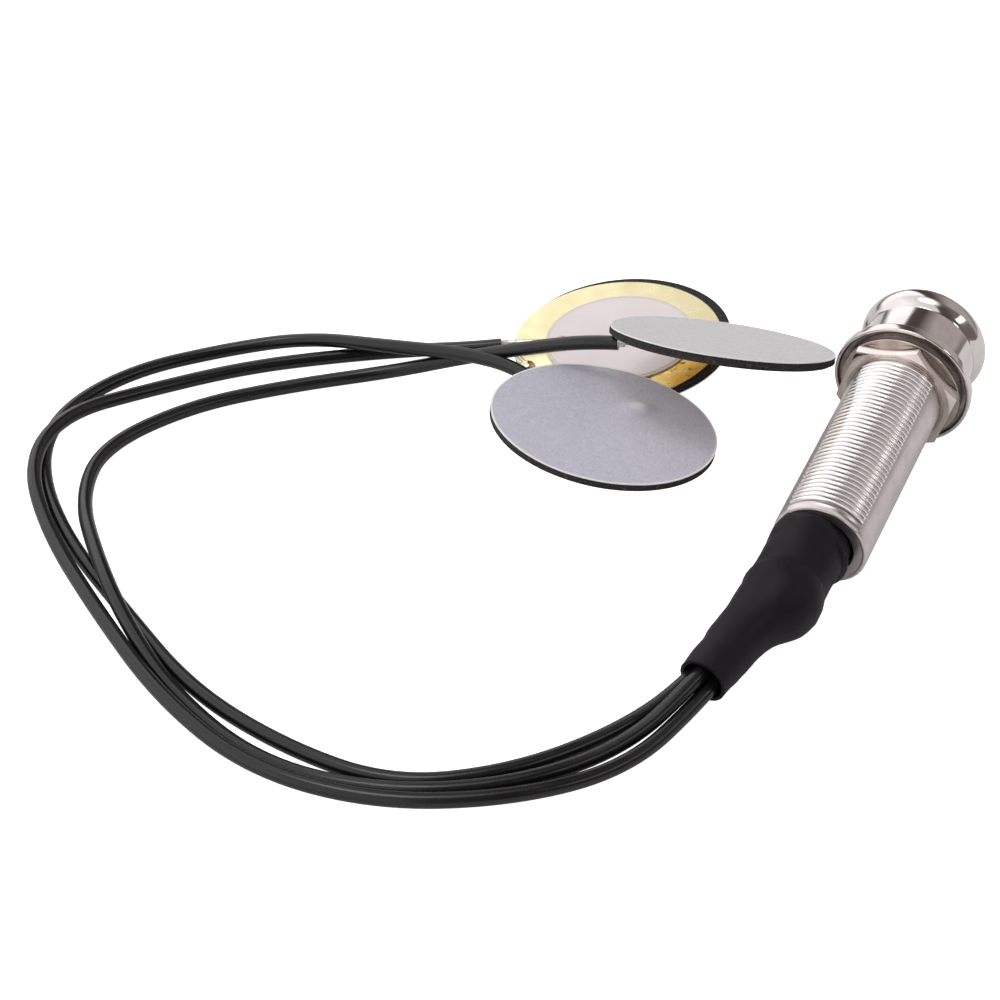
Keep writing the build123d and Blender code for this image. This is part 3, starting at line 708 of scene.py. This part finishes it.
torn = bpy.data.textures.new("cut_edge", "CLOUDS")
torn.noise_scale = 0.0005
torn.noise_depth = 3
for name in DISC_MIDDLES:
    bpy.ops.object.select_all(action="DESELECT")
    bpy.ops.mesh.primitive_cylinder_add(vertices=320, radius=PAD_RADIUS, depth=PAD_THICKNESS)
    pad = bpy.context.object
    pad.name = f"{name}_adhesive_foam"
    bpy.ops.object.mode_set(mode="EDIT")
    for level in (-0.25, 0.0, 0.25):
        bpy.ops.mesh.select_all(action="SELECT")
        bpy.ops.mesh.bisect(plane_co=(0, 0, level * PAD_THICKNESS), plane_no=(0, 0, 1))
    bpy.ops.mesh.select_all(action="DESELECT")
    bpy.ops.mesh.select_mode(type="FACE")
    bpy.ops.object.mode_set(mode="OBJECT")
    for face in pad.data.polygons:
        face.select = abs(face.normal.z) > 0.9
    bpy.ops.object.mode_set(mode="EDIT")
    bpy.ops.mesh.inset(thickness=SKIN_INSET)
    bpy.ops.mesh.select_mode(type="VERT")
    bpy.ops.object.mode_set(mode="OBJECT")
    edge = pad.vertex_groups.new(name="edge")
    rim = [v.index for v in pad.data.vertices if abs(v.co.z) < 0.4 * PAD_THICKNESS]
    edge.add(rim, 1.0, "REPLACE")
    shaped(pad, "DISPLACE", texture=torn, texture_coords="LOCAL", vertex_group="edge",
           mid_level=0.62, strength=0.0003)
    bpy.ops.object.shade_smooth_by_angle(angle=math.radians(35))
    pad.data.materials.append(foam)
    lay_on_disc(pad, name, LINER_THICKNESS + PAD_THICKNESS / 2)
    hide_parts(f"{name}_foam_pad")
    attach(pad, "root")

# Release liners: silver-grey coated paper over the adhesive, die cut with the foam. The coating
# has a fine crossed fibre grain, the cut edge is bare white paper, and the paper rides up a
# little over lumps in the glue. Each disc's liner has its own copy of the colour: the right one is
# painted lighter and less blue, a painted sheen. One lump, under the front liner, carries a
# painted white highlight.
# Painted sheen: the right disc's liner gets a lighter, less blue copy of the colour.
LINER_TINTS_AND_SHEEN = {
    "front": ((0.44, 0.44, 0.545), (0.54, 0.54, 0.62), (0.64, 0.64, 0.71)),
    "right": ((0.56, 0.55, 0.575), (0.63, 0.62, 0.635), (0.73, 0.72, 0.735)),
    "back": ((0.46, 0.455, 0.54), (0.54, 0.535, 0.585), (0.63, 0.62, 0.67)),
}
# Painted highlight: the top of the front liner's lump, painted white.
GLINT_SPOT = (-0.0321, -0.0016, floor_level + 0.0068)
CUT_EDGE = 0.00022
RINGS = 12
RING_WIDTH = 0.00108
coatings = {}
for name, (cool, plain_grey, thread_grey) in LINER_TINTS_AND_SHEEN.items():
    coatings[name], tree, shader = finish(f"{name}_liner_coating", cool, 0.5, 0.0, 0.3)
    long_way = grain(tree, place(tree, (0, 0, 0.35), (1, 6, 1)), 900.0, 4.0, 0.6)
    cross_way = grain(tree, place(tree, (0, 0, 0.35), (6, 1, 1)), 900.0, 4.0, 0.6)
    weave = joined(tree, "ADD", long_way, cross_way)
    cloudy = grain(tree, place(tree), 90.0, 3.0)
    threads = spread(tree, weave, 0.75, 1.3, 0.0, 1.0)
    tint = blend(tree, cloudy, cool, plain_grey)
    tree.links.new(spread(tree, cloudy, 0.3, 0.7, 0.42, 0.58), shader.inputs["Roughness"])
    relief(tree, shader, threads, 0.00002, 0.5)
    # Painted highlight: a white spot on the front lump's top.
    painted_glint = spread(tree, away(tree, GLINT_SPOT), 0.0003, 0.0015, 0.8, 0.0)
    coloured = blend(tree, threads, tint, thread_grey)
    tree.links.new(blend(tree, painted_glint, coloured, (0.92, 0.92, 0.94)), shader.inputs["Base Color"])
paper, tree, shader = finish("liner_cut_edge", (0.86, 0.86, 0.85), 0.7)
pulp = grain(tree, place(tree), 2500.0)
tree.links.new(blend(tree, pulp, (0.92, 0.92, 0.91), (0.78, 0.78, 0.77)), shader.inputs["Base Color"])
relief(tree, shader, pulp, 0.00001)

# Each lump's place on the table's plane, its height and its reach.
lumps = {
    "front": [((-0.0321, -0.0016), 0.0006, 0.0026)],
    "right": [((-0.024, 0.002), 0.0001, 0.006)],
    "back": [((-0.035, 0.019), 0.0001, 0.006)],
}
slack = bpy.data.textures.new("liner_slack", "CLOUDS")
slack.noise_scale = 0.009
for name in DISC_MIDDLES:
    bpy.ops.object.select_all(action="DESELECT")
    bpy.ops.mesh.primitive_circle_add(vertices=256, radius=PAD_RADIUS, fill_type="NGON")
    liner = bpy.context.object
    liner.name = f"{name}_liner"
    bpy.ops.object.mode_set(mode="EDIT")
    bpy.ops.mesh.select_all(action="SELECT")
    bpy.ops.mesh.inset(thickness=CUT_EDGE)
    for ring in range(RINGS):
        bpy.ops.mesh.inset(thickness=RING_WIDTH)
    bpy.ops.mesh.select_all(action="DESELECT")
    bpy.ops.object.mode_set(mode="OBJECT")
    face = mounts[f"{name}_pad_face"]
    outward = Vector(face["axis"])
    into = outward.rotation_difference(Vector((0, 0, 1)))
    for (x, y), height, reach in lumps[name]:
        pos = Vector(face["pos_m"])
        z = pos.z - ((x - pos.x) * outward.x + (y - pos.y) * outward.y) / outward.z
        spot = into @ (Vector((x, y, z)) - pos)
        nearest = min(liner.data.vertices, key=lambda v: (v.co - spot).length)
        for vertex in liner.data.vertices:
            vertex.select = vertex.index == nearest.index
        bpy.ops.object.mode_set(mode="EDIT")
        bpy.ops.mesh.select_mode(type="VERT")
        bpy.ops.transform.translate(
            value=(0, 0, height), use_proportional_edit=True,
            proportional_edit_falloff="SMOOTH", proportional_size=reach)
        bpy.ops.object.mode_set(mode="OBJECT")
    shaped(liner, "DISPLACE", texture=slack, texture_coords="LOCAL", mid_level=0.35, strength=0.00012)
    shaped(liner, "SOLIDIFY", thickness=LINER_THICKNESS, offset=-1.0)
    liner.data.materials.append(coatings[name])
    liner.data.materials.append(paper)
    for polygon in liner.data.polygons:
        if Vector(polygon.center[:2]).length > PAD_RADIUS - CUT_EDGE:
            polygon.material_index = 1
    bpy.ops.object.shade_smooth_by_angle(angle=math.radians(35))
    lay_on_disc(liner, name, 0.0)
    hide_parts(f"{name}_release_liner")
    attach(liner, "root")

# The set: the pickup lies on a wide white table. The room is bright on the left, more so at its
# far end, and dark on the right, with a grey skirting behind. A round panel overhead has a bright
# middle, and a long low lamp shines from the front right.
CEILING_PANEL = (-0.14, 0.02, 0.99)
LAMP_SPOT = (0.5, -0.28, 0.46)
CAMERA_SPOT = (-0.0491, -0.2490, 0.1782)
CAMERA_TILT = 51.8
table_white, tree, shader = finish("table_white", (0.78, 0.78, 0.78), 0.9, 0.0, 0.2)
bpy.ops.object.select_all(action="DESELECT")
bpy.ops.mesh.primitive_plane_add(size=8.0, location=(0, 0, floor_level))
table = bpy.context.object
table.name = "table"
table.data.materials.append(table_white)
path = tree.nodes.new("ShaderNodeLightPath")
mirrored = joined(tree, "MULTIPLY", path.outputs["Is Glossy Ray"], 0.08)
strength = joined(tree, "ADD", path.outputs["Is Camera Ray"], mirrored)
tree.links.new(strength, shader.inputs["Emission Strength"])
shader.inputs["Emission Color"].default_value = (1, 1, 1, 1)

room = bpy.data.worlds.new("room")
room.use_nodes = True
bpy.context.scene.world = room
tree = room.node_tree
background = tree.nodes["Background"]
direction = tree.nodes.new("ShaderNodeTexCoord")
parts = tree.nodes.new("ShaderNodeSeparateXYZ")
tree.links.new(direction.outputs["Generated"], parts.inputs[0])
east, north, up = parts.outputs

ahead = spread(tree, north, -0.1, 0.1, 0.0, 1.0)
right_side = blend(tree, ahead, (0.19, 0.16, 0.155), (0.5, 0.46, 0.45))
shaded = spread(tree, east, 0.2, 0.5, 0.0, 1.0)
right_side = blend(tree, shaded, (0.09, 0.07, 0.065), right_side)

beside = spread(tree, east, -0.4, -0.75, 0.0, 1.0)
left_side = blend(tree, beside, (1.02, 1.0, 1.0), (1.4, 1.38, 1.38))
far = spread(tree, north, 0.45, 0.6, 0.0, 1.0)
left_side = blend(tree, far, left_side, (1.5, 1.5, 1.5))

leftward = spread(tree, east, -0.01, -0.06, 0.0, 1.0)
walls = blend(tree, leftward, right_side, left_side)
low = spread(tree, up, 0.08, 0.2, 1.0, 0.0)
behind = spread(tree, north, 0.2, 0.5, 0.0, 1.0)
walls = blend(tree, joined(tree, "MULTIPLY", low, behind), walls, (0.16, 0.16, 0.15))

overhead = tree.nodes.new("ShaderNodeVectorMath")
overhead.operation = "DOT_PRODUCT"
overhead.inputs[1].default_value = CEILING_PANEL
tree.links.new(direction.outputs["Generated"], overhead.inputs[0])
panel = spread(tree, overhead.outputs["Value"], 0.93, 0.95, 0.0, 1.0)
ceiling = blend(tree, panel, walls, (0.9, 0.9, 0.9))
panel_middle = spread(tree, overhead.outputs["Value"], 0.972, 0.979, 0.0, 1.0)
room_light = blend(tree, panel_middle, ceiling, (4.5, 4.5, 4.5))
tree.links.new(room_light, background.inputs["Color"])
background.inputs["Strength"].default_value = 1.0

bpy.ops.object.light_add(type="AREA", location=LAMP_SPOT)
key = bpy.context.object
key.name = "key_lamp"
key.data.shape = "RECTANGLE"
key.data.size = 0.6
key.data.size_y = 0.12
key.data.energy = 0.6
key.rotation_euler = (Vector((-0.04, -0.01, 0)) - key.location).to_track_quat("-Z", "Y").to_euler()

bpy.ops.object.camera_add(location=CAMERA_SPOT, rotation=(math.radians(CAMERA_TILT), 0, 0))
camera = bpy.context.object
camera.data.lens = 90
camera.data.sensor_width = 36
camera.data.clip_start = 0.01
bpy.context.scene.camera = camera
bpy.context.scene.view_settings.view_transform = "Standard"
